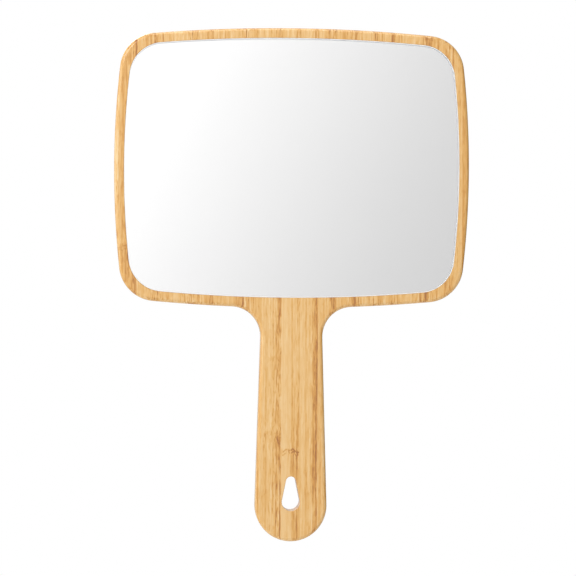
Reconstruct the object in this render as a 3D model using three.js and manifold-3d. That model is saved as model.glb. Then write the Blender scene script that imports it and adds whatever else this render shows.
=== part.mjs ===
// A salon hand mirror: a flat bamboo paddle with a barrel-shaped head and a tapered handle.
// The paddle is one board of bamboo strips glued edge to edge, each the full thickness of the board.
// A pocket routed in its front holds a back-silvered glass plate, stuck down with mounting tape.
// Units are millimetres. +Z runs up the handle to the head, the glass faces -Y, and the origin is
// the middle of the grip, halfway through the board's thickness.
import * as THREE from "three";
import { mergeVertices } from "three/addons/utils/BufferGeometryUtils.js";
import Module from "manifold-3d";

// ---- driving dimensions ----
// Levels and seams that two pieces share are whole sixteenths of a millimetre, which 32-bit
// coordinates hold exactly, so pieces that are glued together meet without a gap or an overlap.
const THICKNESS = 12;
const EDGE_ROUND = 2.25; // radius along the paddle's outer edge, front and back
const HEAD_CENTRE_Z = 150; // height of the head's centre above the middle of the grip
const HEAD = { halfWidth: 100, halfHeight: 78.65, sideRadius: 515, endRadius: 870, cornerRadius: 20.8 };
const HANDLE = { endDrop: 189.8, endRadius: 20.2, taperDegrees: 1.7, neckRadius: 16.9 };
const HOLE = { topDrop: 176.2, topRadius: 2.8, bottomDrop: 187.7, bottomRadius: 5.1, chamfer: 0.4 };
const POCKET = { halfWidth: 94.5, halfHeight: 73.05, sideRadius: 485, endRadius: 853, cornerRadius: 19.6 };
const GLASS_RECESS = 0.1875; // how far the glass lies below the rim
const GLASS_THICKNESS = 3;
const GLASS_CLEARANCE = 0.1; // between the glass and the pocket's wall, all round
const GLASS_ARRIS = 0.375; // flat ground along both edges of the glass
const SILVER_THICKNESS = 0.0625;
const PAINT_THICKNESS = 0.125;
const TAPE = { count: 4, pitch: 46, width: 20, length: 118, thickness: 1 };
const STRIP_WIDTH = 10.1875;
const SEAM_X = 4.5; // one seam between two strips, which sets all the others

// ---- facets ----
const ARC_STEPS = 12;
const EDGE_STEPS = 3;
const CUTTER_MARGIN = 5; // how far a cutting solid reaches past what it cuts

const FRONT_Y = -THICKNESS / 2;
const BACK_Y = THICKNESS / 2;
const GLASS_FRONT_Y = FRONT_Y + GLASS_RECESS;
const GLASS_BACK_Y = GLASS_FRONT_Y + GLASS_THICKNESS;
const SILVER_BACK_Y = GLASS_BACK_Y + SILVER_THICKNESS;
const PAINT_BACK_Y = SILVER_BACK_Y + PAINT_THICKNESS;
const POCKET_FLOOR_Y = PAINT_BACK_Y + TAPE.thickness;

const HALF_TURN = Math.PI;
const FULL_TURN = 2 * Math.PI;

const wasm = await Module();
wasm.setup();

// ---- outlines: points (x, z), anticlockwise as seen from the front ----

function arc(x, z, radius, fromAngle, toAngle, clockwise = false) {
  return new THREE.EllipseCurve(x, z, radius, radius, fromAngle, toAngle, clockwise).getPoints(ARC_STEPS);
}

// One outline from stretches that follow each other, without the points that two of them share.
function chain(...stretches) {
  const same = (p, q) => p.distanceTo(q) < 1e-4;
  const points = stretches.flat().filter((p, i, all) => i === 0 || !same(p, all[i - 1]));
  return same(points[0], points.at(-1)) ? points.slice(0, -1) : points;
}

// Centres and angles of a barrel shape: four shallow arcs, with a round corner touching each pair.
function barrel({ halfWidth, halfHeight, sideRadius, endRadius, cornerRadius }) {
  const side = new THREE.Vector2(halfWidth - sideRadius, 0);
  const end = new THREE.Vector2(0, halfHeight - endRadius);
  const sideReach = sideRadius - cornerRadius;
  const endReach = endRadius - cornerRadius;
  const apart = side.distanceTo(end);
  const along = (sideReach ** 2 - endReach ** 2 + apart ** 2) / (2 * apart);
  const across = Math.sqrt(sideReach ** 2 - along ** 2);
  const towardsEnd = end.clone().sub(side).normalize();
  const outwards = new THREE.Vector2(-towardsEnd.y, towardsEnd.x);
  const corner = side.clone().addScaledVector(towardsEnd, along).addScaledVector(outwards, across);
  const sideAngle = corner.clone().sub(side).angle();
  const endAngle = corner.clone().sub(end).angle();
  return { side, end, corner, sideAngle, endAngle };
}

// The barrel from its lower right corner round to its lower left one: all of it but the bottom arc.
function barrelWithoutBottom(size) {
  const { side, end, corner, sideAngle, endAngle } = barrel(size);
  const { sideRadius, endRadius, cornerRadius } = size;
  const lowCornerZ = HEAD_CENTRE_Z - corner.y;
  const highCornerZ = HEAD_CENTRE_Z + corner.y;
  return chain(
    arc(corner.x, lowCornerZ, cornerRadius, FULL_TURN - endAngle, FULL_TURN - sideAngle),
    arc(side.x, HEAD_CENTRE_Z, sideRadius, -sideAngle, sideAngle),
    arc(corner.x, highCornerZ, cornerRadius, sideAngle, endAngle),
    arc(0, HEAD_CENTRE_Z + end.y, endRadius, endAngle, HALF_TURN - endAngle),
    arc(-corner.x, highCornerZ, cornerRadius, HALF_TURN - endAngle, HALF_TURN - sideAngle),
    arc(-side.x, HEAD_CENTRE_Z, sideRadius, HALF_TURN - sideAngle, HALF_TURN + sideAngle),
    arc(-corner.x, lowCornerZ, cornerRadius, HALF_TURN + sideAngle, HALF_TURN + endAngle),
  );
}

function barrelOutline(size) {
  const { end, endAngle } = barrel(size);
  const bottomZ = HEAD_CENTRE_Z - end.y;
  const bottom = arc(0, bottomZ, size.endRadius, HALF_TURN + endAngle, FULL_TURN - endAngle);
  return chain(barrelWithoutBottom(size), bottom);
}

// Centre of the right-hand neck arc, which touches the handle's straight side and the head's bottom.
function neckCentre(taper, tipZ, bottomZ) {
  const { endRadius, neckRadius } = HANDLE;
  const outward = new THREE.Vector2(Math.cos(taper), Math.sin(taper));
  const upward = new THREE.Vector2(-Math.sin(taper), Math.cos(taper));
  const besideTip = new THREE.Vector2(0, tipZ).addScaledVector(outward, endRadius + neckRadius);
  const fromBottom = besideTip.clone().sub(new THREE.Vector2(0, bottomZ));
  const slope = fromBottom.dot(upward);
  const excess = fromBottom.lengthSq() - (HEAD.endRadius + neckRadius) ** 2;
  return besideTip.addScaledVector(upward, -slope - Math.sqrt(slope ** 2 - excess));
}

// The whole paddle: the head, and a handle that widens towards its round end.
function paddleOutline() {
  const { end, endAngle } = barrel(HEAD);
  const { endRadius, neckRadius } = HANDLE;
  const bottomZ = HEAD_CENTRE_Z - end.y;
  const tipZ = HEAD_CENTRE_Z - HANDLE.endDrop;
  const taper = THREE.MathUtils.degToRad(HANDLE.taperDegrees);
  const neck = neckCentre(taper, tipZ, bottomZ);
  const neckAngle = Math.atan2(bottomZ - neck.y, -neck.x); // from the neck's centre to the head
  return chain(
    barrelWithoutBottom(HEAD),
    arc(0, bottomZ, HEAD.endRadius, HALF_TURN + endAngle, FULL_TURN - neckAngle),
    arc(-neck.x, neck.y, neckRadius, HALF_TURN - neckAngle, -taper, true),
    arc(0, tipZ, endRadius, HALF_TURN - taper, FULL_TURN + taper),
    arc(neck.x, neck.y, neckRadius, HALF_TURN + taper, neckAngle, true),
    arc(0, bottomZ, HEAD.endRadius, HALF_TURN + neckAngle, FULL_TURN - endAngle),
  );
}

// A pear-shaped hole: two circles, grown by extra, and the straight lines that touch both.
function holeOutline(extra = 0) {
  const lean = Math.asin((HOLE.bottomRadius - HOLE.topRadius) / (HOLE.bottomDrop - HOLE.topDrop));
  const topZ = HEAD_CENTRE_Z - HOLE.topDrop;
  const bottomZ = HEAD_CENTRE_Z - HOLE.bottomDrop;
  return chain(
    arc(0, topZ, HOLE.topRadius + extra, lean, HALF_TURN - lean),
    arc(0, bottomZ, HOLE.bottomRadius + extra, HALF_TURN - lean, FULL_TURN + lean),
  );
}

// ---- solids ----

function toSolid(geometry) {
  geometry.deleteAttribute("normal");
  geometry.deleteAttribute("uv");
  const merged = mergeVertices(geometry);
  const vertProperties = merged.attributes.position.array;
  const triVerts = new Uint32Array(merged.index.array);
  return new wasm.Manifold(new wasm.Mesh({ numProp: 3, vertProperties, triVerts }));
}

// The outline as an upright plate from frontY back to backY, with both its edges cut back by inset.
function plate(outline, frontY, backY, inset = 0, steps = 1) {
  const geometry = new THREE.ExtrudeGeometry(new THREE.Shape(outline), {
    depth: backY - frontY - 2 * inset,
    bevelEnabled: inset > 0,
    bevelThickness: inset,
    bevelSize: inset,
    bevelOffset: -inset,
    bevelSegments: steps,
  });
  // The extrusion lies in the XY plane and grows along +Z: stand it up, growing towards the front.
  const position = geometry.attributes.position;
  for (let i = 0; i < position.count; i++) {
    position.setXYZ(i, position.getX(i), backY - inset - position.getZ(i), position.getY(i));
  }
  return toSolid(geometry);
}

function block(fromX, toX, fromY, toY, fromZ, toZ) {
  const geometry = new THREE.BoxGeometry(toX - fromX, toY - fromY, toZ - fromZ);
  return toSolid(geometry.translate((fromX + toX) / 2, (fromY + toY) / 2, (fromZ + toZ) / 2));
}

// The hanging hole's cutter: a straight plug, with a flared mouth at each face of the board.
function holeCutter() {
  const { chamfer } = HOLE;
  const plug = plate(holeOutline(), FRONT_Y - CUTTER_MARGIN, BACK_Y + CUTTER_MARGIN);
  const mouth = (faceY) => plate(holeOutline(chamfer), faceY - chamfer, faceY + chamfer, chamfer);
  return plug.add(mouth(FRONT_Y)).add(mouth(BACK_Y));
}

function toMesh(name, solid, material) {
  const { vertProperties, triVerts } = solid.getMesh();
  const indexed = new THREE.BufferGeometry();
  indexed.setAttribute("position", new THREE.BufferAttribute(vertProperties, 3));
  indexed.setIndex(new THREE.BufferAttribute(triVerts, 1));
  const geometry = indexed.toNonIndexed();
  geometry.computeVertexNormals();
  const mesh = new THREE.Mesh(geometry, material);
  mesh.name = name;
  return mesh;
}

// ---- materials ----

function bambooMaterial(shade) {
  return new THREE.MeshStandardMaterial({ color: shade, roughness: 0.45, metalness: 0 });
}

const bambooShades = [0xe8bc80, 0xeec68e, 0xdfae6c, 0xe4b476];
const glassMaterial = new THREE.MeshStandardMaterial({ color: 0xe6efec, roughness: 0.02, metalness: 0 });
const silverMaterial = new THREE.MeshStandardMaterial({ color: 0xe8eaec, roughness: 0.03, metalness: 1 });
const paintMaterial = new THREE.MeshStandardMaterial({ color: 0x6d7072, roughness: 0.6, metalness: 0 });
const tapeMaterial = new THREE.MeshStandardMaterial({ color: 0xf2f2ee, roughness: 0.9, metalness: 0 });

// ---- pieces ----

function board() {
  const body = plate(paddleOutline(), FRONT_Y, BACK_Y, EDGE_ROUND, EDGE_STEPS);
  const pocket = plate(barrelOutline(POCKET), FRONT_Y - CUTTER_MARGIN, POCKET_FLOOR_Y);
  return body.subtract(pocket).subtract(holeCutter());
}

// Where the strips meet, from left to right across the head.
function seams() {
  const first = SEAM_X - STRIP_WIDTH * Math.floor((SEAM_X + HEAD.halfWidth) / STRIP_WIDTH);
  const count = Math.ceil((HEAD.halfWidth - first) / STRIP_WIDTH);
  return Array.from({ length: count }, (_, i) => first + i * STRIP_WIDTH);
}

// The board cut along its seams. A strip runs the whole height of the paddle where it lies.
function bambooStrips() {
  const whole = board();
  const edgeX = HEAD.halfWidth + CUTTER_MARGIN;
  const bottomZ = HEAD_CENTRE_Z - HANDLE.endDrop - HANDLE.endRadius - CUTTER_MARGIN;
  const topZ = HEAD_CENTRE_Z + HEAD.halfHeight + CUTTER_MARGIN;
  const walls = [-edgeX, ...seams(), edgeX];
  return walls.slice(1).map((wall, i) => {
    const cut = block(walls[i], wall, FRONT_Y - CUTTER_MARGIN, BACK_Y + CUTTER_MARGIN, bottomZ, topZ);
    const name = `bamboo_strip_${String(i + 1).padStart(2, "0")}`;
    return toMesh(name, whole.intersect(cut), bambooMaterial(bambooShades[i % bambooShades.length]));
  });
}

// The pocket's barrel shape, drawn in by margin all round.
function insidePocket(margin) {
  const sizes = Object.entries(POCKET).map(([name, size]) => [name, size - margin]);
  return barrelOutline(Object.fromEntries(sizes));
}

function mirrorGlass() {
  const glass = plate(insidePocket(GLASS_CLEARANCE), GLASS_FRONT_Y, GLASS_BACK_Y, GLASS_ARRIS);
  return toMesh("mirror_glass", glass, glassMaterial);
}

// The two coats on the back of the glass stop at its ground edge.
function coats() {
  const outline = insidePocket(GLASS_CLEARANCE + GLASS_ARRIS);
  return [
    toMesh("silver_coating", plate(outline, GLASS_BACK_Y, SILVER_BACK_Y), silverMaterial),
    toMesh("backing_paint", plate(outline, SILVER_BACK_Y, PAINT_BACK_Y), paintMaterial),
  ];
}

function mountingTapes() {
  const [bottomZ, topZ] = [HEAD_CENTRE_Z - TAPE.length / 2, HEAD_CENTRE_Z + TAPE.length / 2];
  return Array.from({ length: TAPE.count }, (_, i) => {
    const x = (i - (TAPE.count - 1) / 2) * TAPE.pitch;
    const [left, right] = [x - TAPE.width / 2, x + TAPE.width / 2];
    const tape = block(left, right, PAINT_BACK_Y, POCKET_FLOOR_Y, bottomZ, topZ);
    return toMesh(`mounting_tape_${i + 1}`, tape, tapeMaterial);
  });
}

const handMirror = new THREE.Group();
handMirror.name = "hand_mirror";
handMirror.add(...bambooStrips(), mirrorGlass(), ...coats(), ...mountingTapes());

export default handMirror;
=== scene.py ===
"""A bamboo hand mirror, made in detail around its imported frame.

Shapes are worked out in millimetres and turned into metres when a mesh is made. The frame's boxes
give the positions; the values below give what a box doesn't hold, which is the curves and the hole.
"""
import math
import random

import bmesh
import bpy
from mathutils import Matrix, Vector


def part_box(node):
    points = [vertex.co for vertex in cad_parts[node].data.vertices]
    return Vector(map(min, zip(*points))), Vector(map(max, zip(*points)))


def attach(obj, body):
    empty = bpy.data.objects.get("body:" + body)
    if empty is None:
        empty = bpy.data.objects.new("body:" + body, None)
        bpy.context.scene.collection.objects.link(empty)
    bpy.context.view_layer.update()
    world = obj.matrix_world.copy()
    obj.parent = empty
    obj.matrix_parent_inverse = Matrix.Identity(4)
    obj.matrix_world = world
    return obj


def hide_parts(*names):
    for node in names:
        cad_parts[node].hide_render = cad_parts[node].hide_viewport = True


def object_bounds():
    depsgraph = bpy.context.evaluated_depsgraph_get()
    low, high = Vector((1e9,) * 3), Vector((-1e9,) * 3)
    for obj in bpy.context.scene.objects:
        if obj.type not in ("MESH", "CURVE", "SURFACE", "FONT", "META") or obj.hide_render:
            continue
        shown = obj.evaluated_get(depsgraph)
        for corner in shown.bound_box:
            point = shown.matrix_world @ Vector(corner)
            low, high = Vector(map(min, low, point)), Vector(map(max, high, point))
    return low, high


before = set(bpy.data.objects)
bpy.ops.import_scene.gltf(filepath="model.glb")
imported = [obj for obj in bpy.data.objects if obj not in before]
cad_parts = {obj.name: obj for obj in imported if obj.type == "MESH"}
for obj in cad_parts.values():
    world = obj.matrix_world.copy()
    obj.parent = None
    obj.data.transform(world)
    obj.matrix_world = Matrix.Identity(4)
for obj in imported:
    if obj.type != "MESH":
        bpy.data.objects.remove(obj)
cad_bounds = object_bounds()

MM = 0.001

# ---- curves of the paddle, in millimetres ----
HEAD = {"side_radius": 515.0, "end_radius": 870.0, "corner_radius": 20.8}
POCKET = {"side_radius": 485.0, "end_radius": 853.0, "corner_radius": 19.6}
GLASS_CLEARANCE = 0.1
HANDLE_END_RADIUS = 20.2
HANDLE_TAPER = math.radians(1.7)
NECK_RADIUS = 16.9
HOLE = {"top_drop": 176.2, "top_radius": 2.8, "bottom_drop": 187.7, "bottom_radius": 5.1}

# ---- edges: sizes in millimetres, and the steps in each curve ----
EDGE_ROUND, EDGE_STEPS = 2.25, 10
POCKET_MOUTH_ROUND, POCKET_MOUTH_STEPS = 0.15, 4
HOLE_MOUTH_ROUND, HOLE_MOUTH_STEPS = 0.4, 6
GLASS_ARRIS, GLASS_ARRIS_STEPS = 0.375, 5
COAT_EDGE_ROUND, COAT_EDGE_STEPS = 0.02, 2
TAPE_EDGE_ROUND, TAPE_EDGE_STEPS = 0.3, 4
TAPE_CORNER = 0.6
AIR_UNDER_GLASS = 0.01  # keeps the glass's back and the silver's front from sharing one plane
LONGEST_STEP = 2.5
WIDEST_TURN = math.radians(2)
SAME_POINT = 1e-3
CUT_TOLERANCE = 1e-4

# ---- camera ----
LENS_MM = 135.0
SENSOR_MM = 36.0
FIELD_WIDTH_MM = 324.0
CAMERA_AZIMUTH = math.radians(-3.4)
CAMERA_ROLL = math.radians(0.29)
CAMERA_SEES_TO = 100.0  # metres
AIM_LEFT_MM = 2.1
AIM_DROP_MM = 67.5  # below the middle of the head


# ---- sizes from the frame ----

def box_mm(node):
    low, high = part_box(node)
    return Vector(low) / MM, Vector(high) / MM


low_mm, high_mm = Vector(cad_bounds[0]) / MM, Vector(cad_bounds[1]) / MM
glass_low, glass_high = box_mm("mirror_glass")
silver_low, silver_high = box_mm("silver_coating")
paint_low, paint_high = box_mm("backing_paint")
head_z = (glass_low.z + glass_high.z) / 2
front_y, back_y = low_mm.y, high_mm.y
pocket_floor_y = box_mm("mounting_tape_1")[1].y
strip_nodes = sorted(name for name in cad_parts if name.startswith("bamboo_strip_"))
middle_strip = box_mm(strip_nodes[len(strip_nodes) // 2])
STRIP_WIDTH = middle_strip[1].x - middle_strip[0].x
tape_nodes = sorted(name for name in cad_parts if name.startswith("mounting_tape_"))


# ---- outlines: (x, z, outward x, outward z), anticlockwise as seen from the front ----

def arc(x, z, radius, start, end):
    """Points along an arc. It runs clockwise, round a hollow, where start is past end."""
    turn = end - start
    steps = math.ceil(abs(turn) * max(radius / LONGEST_STEP, 1 / WIDEST_TURN))
    side = math.copysign(1, turn)
    angles = [start + turn * i / steps for i in range(steps + 1)]
    return [
        (x + radius * math.cos(a), z + radius * math.sin(a), side * math.cos(a), side * math.sin(a))
        for a in angles
    ]


def chain(*stretches):
    """One closed outline, without the points that two stretches share."""
    points = [p for stretch in stretches for p in stretch]
    return [p for p, before in zip(points, points[-1:] + points[:-1])
            if math.dist(p[:2], before[:2]) > SAME_POINT]


def barrel(half_width, half_height, side_radius, end_radius, corner_radius):
    """Centre heights and angles of four shallow arcs with a round corner touching each pair."""
    side_x = half_width - side_radius
    end_z = half_height - end_radius
    side_reach = side_radius - corner_radius
    end_reach = end_radius - corner_radius
    apart = math.hypot(side_x, end_z)
    along = (side_reach**2 - end_reach**2 + apart**2) / (2 * apart)
    across = math.sqrt(side_reach**2 - along**2)
    to_end = Vector((-side_x, end_z)) / apart
    corner = Vector((side_x, 0)) + along * to_end + across * Vector((-to_end.y, to_end.x))
    side_angle = math.atan2(corner.y, corner.x - side_x)
    end_angle = math.atan2(corner.y - end_z, corner.x)
    return side_x, end_z, corner, side_angle, end_angle


def barrel_without_bottom(half_width, half_height, side_radius, end_radius, corner_radius):
    side_x, end_z, corner, side, end = barrel(
        half_width, half_height, side_radius, end_radius, corner_radius)
    half, full = math.pi, 2 * math.pi
    return [
        *arc(corner.x, head_z - corner.y, corner_radius, full - end, full - side),
        *arc(side_x, head_z, side_radius, -side, side),
        *arc(corner.x, head_z + corner.y, corner_radius, side, end),
        *arc(0, head_z + end_z, end_radius, end, half - end),
        *arc(-corner.x, head_z + corner.y, corner_radius, half - end, half - side),
        *arc(-side_x, head_z, side_radius, half - side, half + side),
        *arc(-corner.x, head_z - corner.y, corner_radius, half + side, half + end),
    ]


def barrel_outline(half_width, half_height, curves):
    _, end_z, _, _, end = barrel(half_width, half_height, **curves)
    bottom = arc(0, head_z - end_z, curves["end_radius"], math.pi + end, 2 * math.pi - end)
    return chain(barrel_without_bottom(half_width, half_height, **curves), bottom)


def neck_centre(tip_z, bottom_z):
    """Centre of the right-hand neck arc, which touches the handle's side and the head's bottom."""
    outward = Vector((math.cos(HANDLE_TAPER), math.sin(HANDLE_TAPER)))
    upward = Vector((-outward.y, outward.x))
    beside_tip = Vector((0, tip_z)) + (HANDLE_END_RADIUS + NECK_RADIUS) * outward
    from_bottom = beside_tip - Vector((0, bottom_z))
    slope = from_bottom.dot(upward)
    excess = from_bottom.length_squared - (HEAD["end_radius"] + NECK_RADIUS) ** 2
    return beside_tip + (-slope - math.sqrt(slope**2 - excess)) * upward


def paddle_outline():
    half_width, half_height = high_mm.x, high_mm.z - head_z
    _, end_z, _, _, end = barrel(half_width, half_height, **HEAD)
    bottom_z = head_z - end_z
    tip_z = low_mm.z + HANDLE_END_RADIUS
    neck = neck_centre(tip_z, bottom_z)
    to_head = math.atan2(bottom_z - neck.y, -neck.x)
    half, full, taper = math.pi, 2 * math.pi, HANDLE_TAPER
    return chain(
        barrel_without_bottom(half_width, half_height, **HEAD),
        arc(0, bottom_z, HEAD["end_radius"], half + end, full - to_head),
        arc(-neck.x, neck.y, NECK_RADIUS, half - to_head, -taper),
        arc(0, tip_z, HANDLE_END_RADIUS, half - taper, full + taper),
        arc(neck.x, neck.y, NECK_RADIUS, half + taper, to_head),
        arc(0, bottom_z, HEAD["end_radius"], half + to_head, full - end),
    )


def hole_outline():
    widening = HOLE["bottom_radius"] - HOLE["top_radius"]
    lean = math.asin(widening / (HOLE["bottom_drop"] - HOLE["top_drop"]))
    top_z, bottom_z = head_z - HOLE["top_drop"], head_z - HOLE["bottom_drop"]
    return chain(
        arc(0, top_z, HOLE["top_radius"], lean, math.pi - lean),
        arc(0, bottom_z, HOLE["bottom_radius"], math.pi - lean, 2 * math.pi + lean),
    )


def rectangle_outline(low, high, corner):
    """A rectangle in x and z with round corners."""
    quarter = math.pi / 2
    left, right = low.x + corner, high.x - corner
    bottom, top = low.z + corner, high.z - corner
    corners = [(right, bottom, 3), (right, top, 0), (left, top, 1), (left, bottom, 2)]
    return chain(*[
        arc(x, z, corner, turn * quarter, (turn + 1) * quarter) for x, z, turn in corners
    ])


# ---- profiles: (inset, y, how far the surface faces outward, how far it faces along y) ----

def round_edge(radius, face_y, steps):
    """A plate's rounded edge, from its front face round to its side."""
    turns = [math.pi / 2 * i / steps for i in range(steps + 1)]
    return [
        (radius * (1 - math.sin(t)), face_y + radius * (1 - math.cos(t)), math.sin(t), -math.cos(t))
        for t in turns
    ]


def round_both(radius, near_y, far_y, steps):
    """A plate's whole edge, rounded at its front and at its back."""
    near = round_edge(radius, near_y, steps)
    far = [(inset, near_y + far_y - y, out, -along) for inset, y, out, along in reversed(near)]
    return near + far


def hollow(profile):
    """The same profile for the wall of a hole, which lies outside its outline and faces inwards."""
    return [(-inset, y, -out, along) for inset, y, out, along in profile]


# ---- meshes ----

def new_bmesh():
    bm = bmesh.new()
    bm.verts.layers.float_vector.new("facing")
    return bm


def sweep(bm, outline, profile):
    """Skins the outline along the profile, and returns its first and last loops of vertices."""
    facing = bm.verts.layers.float_vector["facing"]
    loops = []
    for inset, y, out, along in profile:
        loop = []
        for x, z, out_x, out_z in outline:
            vert = bm.verts.new((x - out_x * inset, y, z - out_z * inset))
            vert[facing] = (out_x * out, along, out_z * out)
            loop.append(vert)
        loops.append(loop)
    for near, far in zip(loops, loops[1:]):
        for i in range(len(near)):
            bm.faces.new((near[i - 1], near[i], far[i], far[i - 1])).smooth = True
    return loops[0], loops[-1]


def fill_flat(bm, edges):
    for item in bmesh.ops.triangle_fill(bm, use_beauty=True, edges=edges)["geom"]:
        if isinstance(item, bmesh.types.BMFace):
            item.smooth = False


def fill_between(bm, *loops):
    """A flat face inside the first loop of vertices and outside the others."""
    pairs = [pair for loop in loops for pair in zip(loop, loop[1:] + loop[:1])]
    fill_flat(bm, [bm.edges.get(pair) for pair in pairs])


def face_normals(mesh):
    """Smooth faces take the exact normals stored on their vertices, and flat faces their own."""
    facing = mesh.attributes["facing"].data
    normals = [None] * len(mesh.loops)
    for polygon in mesh.polygons:
        for loop in polygon.loop_indices:
            smooth = Vector(facing[mesh.loops[loop].vertex_index].vector)
            normals[loop] = smooth.normalized() if polygon.use_smooth else polygon.normal.copy()
    mesh.polygons.foreach_set("use_smooth", [True] * len(mesh.polygons))
    mesh.normals_split_custom_set(normals)
    mesh.attributes.remove(mesh.attributes["facing"])


def finish_piece(bm, node, slot, *materials):
    """Turns a mesh in millimetres into the piece that stands for a node.

    A second material, if there is one, is for the swept faces.
    """
    for face in bm.faces:
        face.material_index = len(materials) - 1 if face.smooth else 0
    bmesh.ops.recalc_face_normals(bm, faces=bm.faces)
    bmesh.ops.triangulate(bm, faces=[f for f in bm.faces if len(f.verts) > 4])
    bm.transform(Matrix.Scale(MM, 4))
    mesh = bpy.data.meshes.new(f"{node}_fine")
    bm.to_mesh(mesh)
    bm.free()
    face_normals(mesh)
    for material in materials:
        mesh.materials.append(material)
    piece = bpy.data.objects.new(f"{node}_fine", mesh)
    bpy.context.scene.collection.objects.link(piece)
    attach(piece, "root")
    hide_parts(node)


def board():
    """The whole board in one mesh, before it is divided into its strips."""
    bm = new_bmesh()
    edge = round_both(EDGE_ROUND, front_y, back_y, EDGE_STEPS)
    outer_front, outer_back = sweep(bm, paddle_outline(), edge)
    pocket = barrel_outline(
        glass_high.x + GLASS_CLEARANCE, glass_high.z - head_z + GLASS_CLEARANCE, POCKET)
    wall = hollow(round_edge(POCKET_MOUTH_ROUND, front_y, POCKET_MOUTH_STEPS))
    mouth, floor = sweep(bm, pocket, wall + [(0, pocket_floor_y, -1, 0)])
    hole_wall = hollow(round_both(HOLE_MOUTH_ROUND, front_y, back_y, HOLE_MOUTH_STEPS))
    hole_front, hole_back = sweep(bm, hole_outline(), hole_wall)
    fill_between(bm, outer_front, mouth, hole_front)
    fill_between(bm, outer_back, hole_back)
    fill_between(bm, floor)
    return bm


def cut_at(bm, x, keep_right):
    """Cuts the mesh at x, drops one side and closes the cut."""
    cut = bmesh.ops.bisect_plane(
        bm, geom=[*bm.verts, *bm.edges, *bm.faces], dist=CUT_TOLERANCE, plane_co=(x, 0, 0),
        plane_no=(-1 if keep_right else 1, 0, 0), clear_outer=True)
    edges = [item for item in cut["geom_cut"] if isinstance(item, bmesh.types.BMEdge)]
    if edges:
        fill_flat(bm, edges)


def make_strips(materials):
    """The board, divided into its strips at the seams of the frame."""
    whole = board()
    for node, material in zip(strip_nodes, materials):
        low, high = box_mm(node)
        bm = whole.copy()
        if low.x > low_mm.x:
            cut_at(bm, low.x, keep_right=True)
        if high.x < high_mm.x:
            cut_at(bm, high.x, keep_right=False)
        finish_piece(bm, node, "bamboo", material)
    whole.free()


def make_plate(node, slot, materials, outline, edge):
    """A flat plate with this outline and edge, a profile that runs from its front to its back."""
    bm = new_bmesh()
    near, far = sweep(bm, outline, edge)
    fill_between(bm, near)
    fill_between(bm, far)
    finish_piece(bm, node, slot, *materials)


def glass_shape(inset):
    """The glass's outline, drawn in by inset."""
    margin = GLASS_CLEARANCE + inset
    curves = {name: size - margin for name, size in POCKET.items()}
    return barrel_outline(glass_high.x - inset, glass_high.z - head_z - inset, curves)


def make_mirror(glass, ground, silver, paint):
    """The glass, whose edge is ground, with the silver and the paint behind it."""
    glass_back = glass_high.y - AIR_UNDER_GLASS
    glass_edge = round_both(GLASS_ARRIS, glass_low.y, glass_back, GLASS_ARRIS_STEPS)
    make_plate("mirror_glass", "glass", [glass, ground], glass_shape(0), glass_edge)
    coat_shape = glass_shape(glass_high.x - silver_high.x)
    silver_edge = round_both(COAT_EDGE_ROUND, silver_low.y, silver_high.y, COAT_EDGE_STEPS)
    make_plate("silver_coating", "silver", [silver], coat_shape, silver_edge)
    paint_edge = round_both(COAT_EDGE_ROUND, paint_low.y, paint_high.y, COAT_EDGE_STEPS)
    make_plate("backing_paint", "backing_paint", [paint], coat_shape, paint_edge)


def make_tapes(material):
    for node in tape_nodes:
        low, high = box_mm(node)
        edge = round_both(TAPE_EDGE_ROUND, low.y, high.y, TAPE_EDGE_STEPS)
        make_plate(node, "tape", [material], rectangle_outline(low, high, TAPE_CORNER), edge)


# ---- materials ----

def linear(part):
    """One channel of an sRGB colour, from 0 to 1, as linear light."""
    return part / 12.92 if part <= 0.04045 else ((part + 0.055) / 1.055) ** 2.4


def srgb(red, green, blue):
    """A colour given in 0 to 255, as the linear colour that a shader takes."""
    return (linear(red / 255), linear(green / 255), linear(blue / 255), 1.0)


def grey(level):
    return (level, level, level, 1.0)


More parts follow.
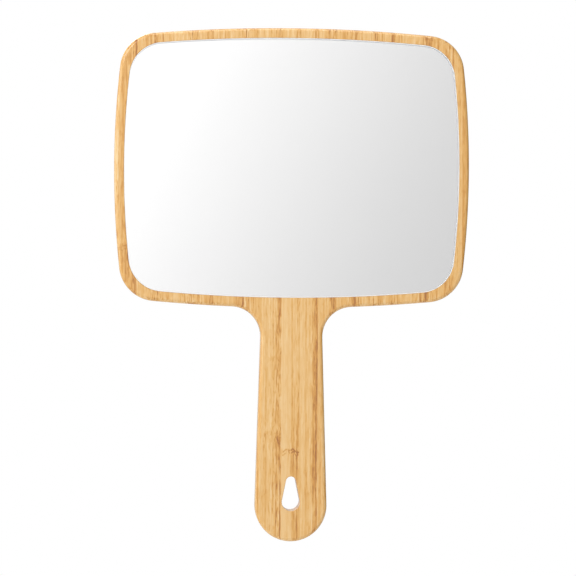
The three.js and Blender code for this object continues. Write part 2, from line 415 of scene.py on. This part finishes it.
class Graph:
    """A node tree under construction. Each call adds a node and returns its output."""

    def __init__(self, tree):
        self.tree = tree

    def feed(self, node, inputs):
        """Gives a node its inputs, each of them a value or another node's output."""
        for key, value in inputs.items():
            if isinstance(value, bpy.types.NodeSocket):
                self.tree.links.new(value, node.inputs[key])
            else:
                node.inputs[key].default_value = value

    def add(self, kind, inputs=None, output=0, **settings):
        made = self.tree.nodes.new(kind)
        for name, value in settings.items():
            setattr(made, name, value)
        self.feed(made, inputs or {})
        return made.outputs[output]

    def math(self, operation, a, b=0.0, c=0.0):
        return self.add("ShaderNodeMath", {0: a, 1: b, 2: c}, operation=operation)

    def sum(self, *terms):
        total = terms[0]
        for term in terms[1:]:
            total = self.math("ADD", total, term)
        return total

    def times(self, a, b):
        return self.math("MULTIPLY", a, b)

    def vector(self, x, y, z):
        return self.add("ShaderNodeCombineXYZ", {0: x, 1: y, 2: z})

    def dot(self, vector, way):
        inputs = {0: vector, 1: way}
        return self.add("ShaderNodeVectorMath", inputs, output="Value", operation="DOT_PRODUCT")

    def stretch(self, vector, x, y, z):
        """The vector in cells of x by y by z millimetres."""
        inputs = {0: vector, 1: (1 / x, 1 / y, 1 / z)}
        return self.add("ShaderNodeVectorMath", inputs, operation="MULTIPLY")

    def noise(self, vector, detail=2.0, roughness=0.5):
        inputs = {"Vector": vector, "Scale": 1.0, "Detail": detail, "Roughness": roughness}
        return self.add("ShaderNodeTexNoise", inputs)

    def cells(self, place, cell, detail):
        """Noise in cells of this size, in millimetres along x, y and z."""
        return self.noise(self.stretch(place, *cell), detail=detail)

    def waves(self, x, y, seed, per_x, per_y):
        """Noise over x and y, with so many cells to a millimetre, and its own for each seed."""
        return self.noise(self.vector(self.times(x, per_x), self.times(y, per_y), seed))

    def patches(self, x, z, seed, per_x, per_z):
        """Noise over x and z, with so many cells to a millimetre, and its own for each seed."""
        return self.noise(self.vector(self.times(x, per_x), seed, self.times(z, per_z)))

    def centred(self, value):
        return self.math("SUBTRACT", value, 0.5)

    def step(self, value, low, high, to_low=0.0, to_high=1.0):
        """A smooth step from to_low, where value is at low, to to_high, where it is at high."""
        inputs = {"Value": value, "From Min": low, "From Max": high,
                  "To Min": to_low, "To Max": to_high}
        return self.add("ShaderNodeMapRange", inputs, interpolation_type="SMOOTHSTEP")

    def bell(self, value, width):
        """1 where value is 0, falling away over width."""
        scaled = self.math("DIVIDE", value, width)
        return self.math("EXPONENT", self.times(self.times(scaled, scaled), -1.0))

    def bump(self, height, strength, depth_mm):
        inputs = {"Strength": strength, "Distance": depth_mm * MM, "Height": height}
        return self.add("ShaderNodeBump", inputs)

    def ramp(self, value, stops):
        """The colour at value on a scale of (position, colour) stops."""
        made = self.tree.nodes.new("ShaderNodeValToRGB")
        self.tree.links.new(value, made.inputs["Fac"])
        elements = made.color_ramp.elements
        while len(elements) < len(stops):
            elements.new(0.5)
        for element, (position, colour) in zip(elements, stops):
            element.position = position
            element.color = colour
        return made.outputs["Color"]


def new_material(name):
    material = bpy.data.materials.new(name)
    material.use_nodes = True
    tree = material.node_tree
    tree.nodes.clear()
    shader = tree.nodes.new("ShaderNodeBsdfPrincipled")
    output = tree.nodes.new("ShaderNodeOutputMaterial")
    tree.links.new(shader.outputs["BSDF"], output.inputs["Surface"])
    return material, Graph(tree), shader


def place_mm(graph):
    """The point being shaded, in the frame, in millimetres."""
    place = graph.add("ShaderNodeTexCoord", output="Object")
    return graph.add("ShaderNodeVectorMath", {0: place, "Scale": 1 / MM}, operation="SCALE")


# The wood's colour from its palest to its darkest.
BAMBOO_SHADES = [
    (0.00, srgb(243, 208, 152)),
    (0.25, srgb(236, 191, 125)),
    (0.45, srgb(229, 177, 100)),
    (0.62, srgb(216, 157, 77)),
    (0.80, srgb(201, 139, 62)),
    (1.00, srgb(172, 110, 50)),
]

# The grain's layers: the size of a cell along x, y and z, in millimetres, and the noise's detail.
BANDS = ((3.4, 3.4, 300.0), 0.0)
STREAKS = ((1.1, 1.2, 70.0), 1.0)
THREADS = ((0.7, 0.8, 8.0), 2.0)
LINES = ((1.0, 1.1, 220.0), 0.0)
DASHES = ((0.9, 1.0, 5.0), 1.0)
PALE = ((1.0, 1.1, 30.0), 1.0)
ROOTS = ((0.8, 0.9, 14.0), 0.0)

# Between which two levels of its noise a sharp layer goes from none to full.
LINES_START = (0.57, 0.64)
DASHES_START = (0.55, 0.61)
PALE_STARTS = (0.44, 0.32)
ROOTS_START = (0.5, 0.66)

# How much each thing darkens the wood, on the scale of BAMBOO_SHADES.
DARKENING = {
    "bands": 0.4, "streaks": 0.7, "threads": 1.0, "lines": 0.2, "dashes": 0.19, "pale": -0.12,
    "density": 0.1, "glue": 0.09, "skin": 0.17, "ridges": 0.55, "roots": 0.42, "halo": -0.06,
}
TONE_OFFSET = -0.09  # makes up for the lines and dashes, which only darken

# How densely the fibres lie, from the pith side of the strip to the skin side.
DENSITY = {"across": (0.15, 0.95), "fibres": (0.3, 1.0)}
LEAST_CROWDING = 0.3

# Lengths in millimetres. Heights are above the line of the knot.
SEED_STEP = 37.7
WANDER = 1.0
GLUE_LINE = 0.25
SKIN = {"depth": 0.8, "width": 1.2}
SKIN_THREADS = (-0.1, 0.1)  # the skin is broken up where the threads are between these levels
SKIN_STRENGTH = (0.4, 1.0)
KNOT = {"bow": 1.0, "waver": 5.0, "swerve": 3.0, "swerve_reach": 7.0}
RIDGE = {"width": 0.5, "lower_width": 0.45, "lower_drop": 1.5, "lower_waver": 6.0}
LOWER_RIDGE_STRENGTH = 0.8
RIDGE_HEIGHT = 0.8  # in the bump, where the darkest wood lies 1 lower than the palest
RIDGE_BREAKS = (0.4, 0.55)
ROOTS_END, ROOTS_FULL = -13.0, -1.0
ROOTS_FADE, ROOTS_TOP = 0.0, 3.5  # the roots are full up to the first and end at the second
HALO = {"height": 2.5, "width": 1.6}

# Noise cells to a millimetre, along x and then y or z.
KNOT_WAVES = (0.42, 0.3)
LOWER_WAVES = (0.36, 0.3)
LOWER_SEED_SHIFT = 9.0
WANDER_PATCHES = (0.08, 0.02)
SWERVE_PATCHES = (0.5, 0.2)
BREAK_PATCHES = (0.7, 0.3)

GRAIN_INPUTS = {
    "Place": "Vector", "Left": "Float", "Width": "Float", "Seed": "Float", "Flip": "Float",
    "Tone": "Float", "Figure": "Float", "Knot": "Float", "Ridge": "Float",
}
GRAIN_OUTPUTS = {"Color": "Color", "Roughness": "Float", "Height": "Float"}


def new_grain_tree():
    """A node group with the grain's inputs and outputs, and nothing between them yet."""
    tree = bpy.data.node_groups.new("bamboo grain", "ShaderNodeTree")
    for way, sockets in (("INPUT", GRAIN_INPUTS), ("OUTPUT", GRAIN_OUTPUTS)):
        for name, kind in sockets.items():
            tree.interface.new_socket(name, in_out=way, socket_type=f"NodeSocket{kind}")
    return tree


def across_strip(graph, given, x):
    """0 at the edge of the strip that was nearest the cane's pith, and 1 at its skin."""
    across = graph.math("DIVIDE", graph.math("SUBTRACT", x, given["Left"]), given["Width"])
    return graph.math("ABSOLUTE", graph.math("SUBTRACT", across, given["Flip"]))


def height_above_knot(graph, given, point, seed, across):
    """How far above the knot's line a point is. The line bows and wavers across the strip."""
    x, y, z = point
    off_middle = graph.math("POWER", graph.centred(across), 2.0)  # a quarter, at both edges
    bow = graph.times(off_middle, 4 * KNOT["bow"])
    waver = graph.times(graph.centred(graph.waves(x, y, seed, *KNOT_WAVES)), KNOT["waver"])
    return graph.sum(z, graph.times(given["Knot"], -1.0), bow, waver)


def place_among_fibres(graph, point, seed, above):
    """The point's place once the fibres are straight. They wander, and swerve at the knot."""
    x, y, z = point
    wander = graph.centred(graph.patches(x, z, seed, *WANDER_PATCHES))
    swerve = graph.centred(graph.patches(x, z, seed, *SWERVE_PATCHES))
    swerve = graph.times(swerve, graph.bell(above, KNOT["swerve_reach"]))
    drift = graph.sum(graph.times(wander, WANDER), graph.times(swerve, KNOT["swerve"]))
    return graph.vector(graph.sum(x, drift, seed), graph.sum(y, seed), z)


def strip_edges(graph, given, across, threads):
    """The dark lines along both glued edges, and the dense outer skin of the cane at one."""
    from_skin = graph.times(graph.math("SUBTRACT", 1.0, across), given["Width"])
    from_pith = graph.times(across, given["Width"])
    glue = graph.bell(graph.math("MINIMUM", from_pith, from_skin), GLUE_LINE)
    skin = graph.bell(graph.sum(from_skin, -SKIN["depth"]), SKIN["width"])
    return glue, graph.times(skin, graph.step(threads, *SKIN_THREADS, *SKIN_STRENGTH))


def knot_ridges(graph, given, point, seed, above):
    """Two wavering ridges that close into loops, broken off here and there."""
    x, y, z = point
    waver = graph.centred(graph.waves(x, y, graph.sum(seed, LOWER_SEED_SHIFT), *LOWER_WAVES))
    below = graph.sum(above, RIDGE["lower_drop"], graph.times(waver, RIDGE["lower_waver"]))
    upper = graph.bell(above, RIDGE["width"])
    lower = graph.times(graph.bell(below, RIDGE["lower_width"]), LOWER_RIDGE_STRENGTH)
    broken = graph.step(graph.patches(x, z, seed, *BREAK_PATCHES), *RIDGE_BREAKS)
    return graph.times(graph.times(graph.sum(upper, lower), broken), given["Ridge"])


def knot_roots(graph, fibre, above, crowding):
    """Short dark dashes that run down from the knot."""
    rising = graph.step(above, ROOTS_END, ROOTS_FULL)
    falling = graph.step(above, ROOTS_TOP, ROOTS_FADE)
    roots = graph.step(graph.cells(fibre, *ROOTS), *ROOTS_START)
    return graph.times(roots, graph.times(graph.times(rising, falling), crowding))


def grain_group():
    """The grain of one bamboo strip.

    Its fibres run along z and lie closer towards the edge that was the cane's skin, which is the
    right one unless Flip is 1.
    """
    tree = new_grain_tree()
    graph = Graph(tree)
    given = tree.nodes.new("NodeGroupInput").outputs
    parts = tree.nodes.new("ShaderNodeSeparateXYZ")
    graph.feed(parts, {0: given["Place"]})
    point = tuple(parts.outputs)
    seed = graph.times(given["Seed"], SEED_STEP)
    across = across_strip(graph, given, point[0])
    above = height_above_knot(graph, given, point, seed, across)
    fibre = place_among_fibres(graph, point, seed, above)

    density = graph.step(across, *DENSITY["across"], *DENSITY["fibres"])
    crowding = graph.sum(LEAST_CROWDING, density)
    strength = graph.times(given["Figure"], crowding)
    threads = graph.centred(graph.cells(fibre, *THREADS))
    streaks = graph.centred(graph.cells(fibre, *STREAKS))
    lines = graph.step(graph.cells(fibre, *LINES), *LINES_START)
    dashes = graph.step(graph.cells(fibre, *DASHES), *DASHES_START)
    glue, skin = strip_edges(graph, given, across, threads)
    ridges = knot_ridges(graph, given, point, seed, above)
    marks = {
        "bands": graph.centred(graph.cells(fibre, *BANDS)),
        "streaks": graph.times(streaks, strength),
        "threads": graph.times(threads, strength),
        "lines": graph.times(lines, crowding),
        "dashes": graph.times(dashes, strength),
        "pale": graph.step(graph.cells(fibre, *PALE), *PALE_STARTS),
        "density": graph.centred(density),
        "glue": glue,
        "skin": skin,
        "ridges": ridges,
        "roots": knot_roots(graph, fibre, above, crowding),
        "halo": graph.bell(graph.sum(above, -HALO["height"]), HALO["width"]),
    }
    darkening = [graph.times(mark, DARKENING[name]) for name, mark in marks.items()]
    darkness = graph.sum(given["Tone"], TONE_OFFSET, *darkening)
    graph.feed(tree.nodes.new("NodeGroupOutput"), {
        "Color": graph.ramp(darkness, BAMBOO_SHADES),
        "Roughness": graph.step(darkness, 0.1, 1.0, 0.4, 0.6),
        "Height": graph.sum(graph.times(darkness, -1.0), graph.times(ridges, RIDGE_HEIGHT)),
    })
    return tree


SATIN_LACQUER = {"Coat Weight": 1.0, "Coat Roughness": 0.2, "Coat IOR": 1.6}


def bamboo_material(node, grain, choices):
    """One strip's wood.

    The outermost strips are cut down, so their grain starts where a whole strip's would.
    """
    material, graph, shader = new_material(f"bamboo_{node[-2:]}")
    group = graph.tree.nodes.new("ShaderNodeGroup")
    group.node_tree = grain
    low, high = box_mm(node)
    left = high.x - STRIP_WIDTH if node == strip_nodes[0] else low.x
    graph.feed(group, {"Place": place_mm(graph), "Left": left, "Width": STRIP_WIDTH, **choices})
    graph.feed(shader, {
        "Base Color": group.outputs["Color"],
        "Roughness": group.outputs["Roughness"],
        "Normal": graph.bump(group.outputs["Height"], 0.3, 0.1),
        "IOR": 1.45,
        "Specular IOR Level": 0.2,
        **SATIN_LACQUER,
    })
    return material


# What is given for a strip. Flip is 1 where the dense side is the left one. Tone runs
# from 0 for pale to 1 for brown, and Figure from 0 for plain to 1 for full grain. A knot's height
# is in millimetres, and its ridge runs from 0 for dashes only to 1 for a full line. A knot at
# KNOT_OUTSIDE is past the strip's end, so the strip shows none. The rest is drawn at random.
KNOT_OUTSIDE = 300.0
STRIP_CHOICES = {
    # Strip 01 runs along the left-hand edge and is paler than most: partly its own tone, partly a
    # painted highlight along that edge.
    "01": {"Tone": 0.28, "Knot": 104.0, "Ridge": 0.4},
    "02": {"Tone": 0.53, "Knot": 106.0, "Ridge": 0.5},
    "04": {"Tone": 0.42},
    "05": {"Tone": 0.27},
    "06": {"Tone": 0.43},
    "07": {"Tone": 0.41},
    "08": {"Tone": 0.4},
    "09": {"Flip": 1.0, "Tone": 0.4},
    "10": {"Seed": 130.0, "Flip": 0.0, "Tone": 0.38, "Knot": 1.0, "Ridge": 0.2},
    "11": {"Flip": 0.0, "Tone": 0.3, "Figure": 0.5, "Knot": -8.6, "Ridge": 1.0},
    "12": {"Seed": 32.0, "Flip": 0.0, "Tone": 0.38, "Figure": 0.75},
    "13": {"Flip": 0.0, "Tone": 0.37},
    "14": {"Tone": 0.42},
    "16": {"Tone": 0.4},
    "17": {"Tone": 0.45},
    "18": {"Tone": 0.44},
    "19": {"Tone": 0.46},
    "20": {"Tone": 0.42, "Knot": KNOT_OUTSIDE},
    # Strip 21 runs along the right-hand edge and is the darkest, with its dense skin side
    # outermost: partly its own darker wood, partly painted shade along that edge.
    "21": {"Flip": 0.0, "Tone": 0.65, "Knot": KNOT_OUTSIDE},
}
FLIPPED = 0.35  # the share of strips whose dense side is the left one
TONES = (0.36, 0.41)
KNOTS = (92.0, 208.0)
RIDGES = (0.4, 1.0)
STRIP_SEED = 11


def bamboo_materials():
    grain = grain_group()
    chance = random.Random(STRIP_SEED)
    materials = []
    for i, node in enumerate(strip_nodes):
        drawn = {"Seed": i + 1.0, "Flip": float(chance.random() < FLIPPED), "Figure": 1.0,
                 "Tone": chance.uniform(*TONES), "Knot": chance.uniform(*KNOTS),
                 "Ridge": chance.uniform(*RIDGES)}
        chosen = STRIP_CHOICES.get(node[-2:], {})
        materials.append(bamboo_material(node, grain, {**drawn, **chosen}))
    return materials


def glass_material():
    """Clear glass with faint smears."""
    material, graph, shader = new_material("float_glass")
    smears = graph.cells(place_mm(graph), (40.0, 40.0, 25.0), 3.0)
    tint = [(0.0, (0.993, 0.993, 0.994, 1.0)), (1.0, (0.988, 0.988, 0.99, 1.0))]
    graph.feed(shader, {
        "Base Color": graph.ramp(smears, tint),
        "Roughness": graph.step(smears, 0.4, 0.8, 0.0, 0.012),
        "IOR": 1.52,
        "Transmission Weight": 1.0,
    })
    return material


def ground_glass_material():
    """The frosted arris and sides, left pale by the grinding wheel.

    The faint emission stands for light that real glass scatters out at its ground edge.
    """
    material, graph, shader = new_material("ground_glass")
    grit = graph.cells(place_mm(graph), (0.25, 0.25, 0.25), 3.0)
    shades = [(0.3, (0.88, 0.91, 0.92, 1.0)), (0.7, (0.94, 0.96, 0.97, 1.0))]
    graph.feed(shader, {
        "Base Color": graph.ramp(grit, shades),
        "Roughness": graph.step(grit, 0.3, 0.7, 0.35, 0.55),
        "Normal": graph.bump(grit, 0.3, 0.01),
        "Emission Color": (0.92, 0.96, 1.0, 1.0),
        "Emission Strength": 0.2,
    })
    return material


def silver_material():
    """A mirror film that clouds very slightly from place to place."""
    material, graph, shader = new_material("mirror_silver")
    cloud = graph.cells(place_mm(graph), (60.0, 60.0, 60.0), 2.0)
    shades = [(0.0, (0.965, 0.964, 0.962, 1.0)), (1.0, (0.973, 0.971, 0.968, 1.0))]
    graph.feed(shader, {
        "Base Color": graph.ramp(cloud, shades),
        "Metallic": 1.0,
        "Roughness": 0.0,
    })
    return material


def paint_material():
    """Matt grey paint with a fine speckle."""
    material, graph, shader = new_material("backing_paint")
    speckle = graph.cells(place_mm(graph), (0.6, 0.6, 0.6), 3.0)
    graph.feed(shader, {
        "Base Color": graph.ramp(speckle, [(0.3, srgb(92, 98, 102)), (0.7, srgb(112, 117, 120))]),
        "Roughness": graph.step(speckle, 0.3, 0.7, 0.5, 0.65),
        "Normal": graph.bump(speckle, 0.3, 0.02),
    })
    return material


def tape_material():
    """White foam with open cells."""
    material, graph, shader = new_material("foam_tape")
    place = graph.stretch(place_mm(graph), 0.35, 0.35, 0.35)
    foam = graph.add("ShaderNodeTexVoronoi", {"Vector": place, "Scale": 1.0})
    graph.feed(shader, {
        "Base Color": graph.ramp(foam, [(0.1, srgb(214, 214, 208)), (0.7, srgb(243, 243, 238))]),
        "Roughness": graph.step(foam, 0.0, 0.8, 0.95, 0.8),
        "Normal": graph.bump(foam, 0.5, 0.05),
    })
    return material


# ---- studio ----

def make_camera():
    """A long lens in front of the mirror, a little to its left and level with its middle."""
    camera = bpy.data.cameras.new("camera")
    camera.lens = LENS_MM
    camera.sensor_width = SENSOR_MM
    camera.clip_end = CAMERA_SEES_TO
    distance = LENS_MM / SENSOR_MM * FIELD_WIDTH_MM
    aim = Vector((-AIM_LEFT_MM, front_y + EDGE_ROUND, head_z - AIM_DROP_MM))
    turn = Matrix.Rotation(CAMERA_AZIMUTH, 4, "Z")
    upright = Matrix.Rotation(math.pi / 2, 4, "X")
    roll = Matrix.Rotation(CAMERA_ROLL, 4, "Z")
    seen = bpy.data.objects.new("camera", camera)
    bpy.context.scene.collection.objects.link(seen)
    back_off = Matrix.Translation(Vector((0, -distance, 0)) * MM)
    seen.matrix_world = Matrix.Translation(aim * MM) @ turn @ back_off @ upright @ roll
    bpy.context.scene.camera = seen


# The floor, in metres.
FLOOR_Z = -0.8
FLOOR_RADIUS = 3.0
FLOOR_SIDES = 96
FLOOR_FADES_FROM = 1.7
FLOOR_GLOW = 0.46  # at the edge, which brings it up to the white of the room behind
FLOOR_MOTTLE_MM = (300.0, 300.0, 300.0)


def floor_material():
    """Pale grey that fades to white towards the floor's edge."""
    material, graph, shader = new_material("pale_floor")
    mottle = graph.cells(place_mm(graph), FLOOR_MOTTLE_MM, 2.0)
    place = graph.add("ShaderNodeTexCoord", output="Object")
    from_middle = graph.add(
        "ShaderNodeVectorMath", {0: place}, output="Value", operation="LENGTH")
    graph.feed(shader, {
        "Base Color": graph.ramp(mottle, [(0.3, grey(0.86)), (0.7, grey(0.88))]),
        "Emission Color": grey(1.0),
        "Emission Strength": graph.step(
            from_middle, FLOOR_FADES_FROM, FLOOR_RADIUS, 0.0, FLOOR_GLOW),
        "Roughness": 0.9,
    })
    return material


def make_floor():
    """A pale floor a little way below the mirror, which hangs clear of it."""
    bm = bmesh.new()
    bmesh.ops.create_circle(bm, cap_ends=True, segments=FLOOR_SIDES, radius=FLOOR_RADIUS)
    bm.transform(Matrix.Translation((0, 0, FLOOR_Z)))
    mesh = bpy.data.meshes.new("floor")
    bm.to_mesh(mesh)
    bm.free()
    mesh.materials.append(floor_material())
    floor = bpy.data.objects.new("floor", mesh)
    bpy.context.scene.collection.objects.link(floor)


# Brightness of the room, as the mirror and the light on the wood have it; the camera sees plain
# white. Ahead of the mirror it falls off quickly from upper left to lower right, between two
# limits. Further round it is a little brighter on the left and above, with a dark flag to the
# right of the mirror and behind it.
AHEAD = {"middle": 0.995, "fall": (-2.75, 0.0, 1.42), "limits": (0.68, 1.2)}
AROUND = {"middle": 0.6, "fall": (-0.15, 0.0, 0.05)}
FLAG = {"towards": (0.85, 0.5, -0.1), "starts": 0.6, "full": 0.85, "depth": 0.42}
BEHIND = (0.0, 1.0, 0.0)
AHEAD_ENDS = (-0.98, -0.8)  # a direction's part along BEHIND, where AHEAD gives way to AROUND
EVEN_SLOPE = 0.75  # half the width, for a rise of 1, that gives a smooth step a slope of 1 midway


def room_brightness(graph, direction):
    """How bright the room is in this direction."""
    low, high = AHEAD["limits"]
    middle, reach = (low + high) / 2, EVEN_SLOPE * (high - low)
    ahead = graph.sum(graph.dot(direction, AHEAD["fall"]), AHEAD["middle"])
    ahead = graph.step(ahead, middle - reach, middle + reach, low, high)
    into_flag = graph.dot(direction, Vector(FLAG["towards"]).normalized())
    flag = graph.step(into_flag, FLAG["starts"], FLAG["full"], 0.0, FLAG["depth"])
    around = graph.sum(graph.dot(direction, AROUND["fall"]), AROUND["middle"])
    around = graph.math("SUBTRACT", around, flag)
    blend = graph.step(graph.dot(direction, BEHIND), *AHEAD_ENDS)
    kept = graph.math("SUBTRACT", 1.0, blend)
    return graph.sum(graph.times(ahead, kept), graph.times(around, blend))


def make_room():
    """A bright room, which the camera itself sees as plain white."""
    world = bpy.data.worlds.new("room")
    world.use_nodes = True
    world.node_tree.nodes.clear()
    graph = Graph(world.node_tree)
    level = room_brightness(graph, graph.add("ShaderNodeTexCoord", output="Generated"))
    lit = graph.add("ShaderNodeBackground", {"Color": grey(1.0), "Strength": level})
    plain = graph.add("ShaderNodeBackground", {"Color": grey(1.0), "Strength": 1.0})
    seen = graph.add("ShaderNodeLightPath", output="Is Camera Ray")
    mixed = graph.add("ShaderNodeMixShader", {0: seen, 1: lit, 2: plain})
    graph.feed(graph.tree.nodes.new("ShaderNodeOutputWorld"), {"Surface": mixed})
    bpy.context.scene.world = world


# Each lamp's place, width and height, in metres, and its power in watts.
LAMPS = {
    "key": ((-0.93, -1.2, 0.93), 0.7, 0.7, 8.4),
    "top": ((0.0, -0.25, 1.5), 0.8, 1.4, 6.0),
    "left": ((-1.3, -0.3, 0.25), 1.2, 0.5, 1.8),
    "back": ((-0.7, 1.5, 1.25), 1.0, 1.0, 14.0),
}


def make_lamp(name, place, width, height, power):
    """A soft lamp that faces the middle of the head."""
    lamp = bpy.data.lights.new(name, "AREA")
    lamp.shape = "RECTANGLE"
    lamp.size = width
    lamp.size_y = height
    lamp.energy = power
    shown = bpy.data.objects.new(name, lamp)
    bpy.context.scene.collection.objects.link(shown)
    target = Vector((0, 0, head_z * MM))
    shown.location = place
    shown.rotation_euler = (target - Vector(place)).to_track_quat("-Z", "Y").to_euler()


bpy.context.scene.view_settings.view_transform = "Standard"
make_camera()
make_room()
make_floor()
for lamp_name, lamp_values in LAMPS.items():
    make_lamp(lamp_name, *lamp_values)
make_strips(bamboo_materials())
make_mirror(glass_material(), ground_glass_material(), silver_material(), paint_material())
make_tapes(tape_material())
